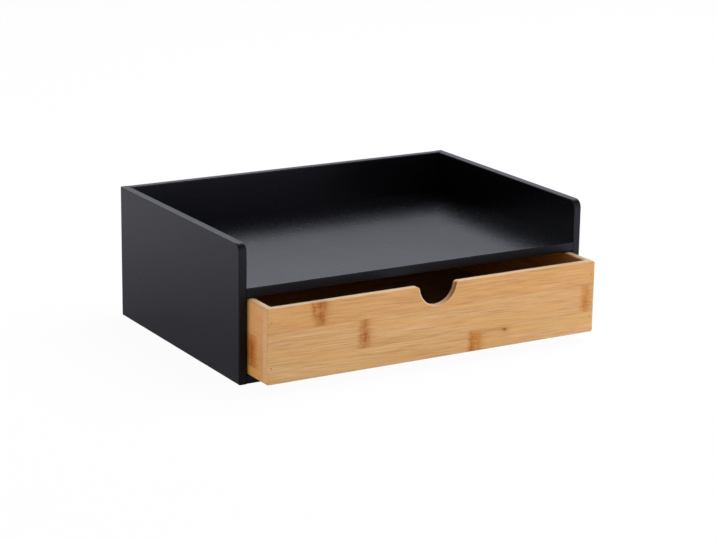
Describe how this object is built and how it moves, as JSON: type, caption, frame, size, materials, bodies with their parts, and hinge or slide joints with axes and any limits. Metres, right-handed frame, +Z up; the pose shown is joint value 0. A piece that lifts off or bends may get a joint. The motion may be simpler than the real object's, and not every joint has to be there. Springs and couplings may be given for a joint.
{
  "type": "desk organizer with tray and drawer",
  "caption": "Desktop organizer: a painted board cabinet with an open tray on top and an inset bamboo drawer with a half-round finger notch.",
  "frame": {"origin": "middle of the cabinet's footprint, on the surface that it stands on", "axes": "+X to the right across the front, +Y to the back, +Z up; the drawer opens towards -Y"},
  "size_m": [0.37, 0.2874, 0.13],
  "materials": {
    "black_paint": "satin black paint on fibreboard",
    "beech": "raw beech dowel",
    "bamboo": "clear matt lacquer on laminated bamboo",
    "thin_plywood": "raw thin plywood",
    "brad_steel": "bronzed steel wire"
  },
  "bodies": {
    "cabinet": {"left_side_panel": "black_paint", "right_side_panel": "black_paint", "back_panel": "black_paint", "tray_shelf": "black_paint", "bottom_board": "black_paint", "shelf_side_dowels": "beech", "bottom_side_dowels": "beech", "back_side_dowels": "beech", "shelf_back_dowels": "beech", "bottom_back_dowels": "beech"},
    "drawer": {"drawer_front": "bamboo", "drawer_left_side": "bamboo", "drawer_right_side": "bamboo", "drawer_back": "bamboo", "drawer_bottom": "thin_plywood", "drawer_front_brads": "brad_steel", "drawer_back_brads": "brad_steel"}
  },
  "joints": [
    {"name": "drawer_slide", "type": "slide", "parent": "cabinet", "child": "drawer", "axis": [0, -1, 0], "range_m": [-0.0374, 0.1526]}
  ]
}
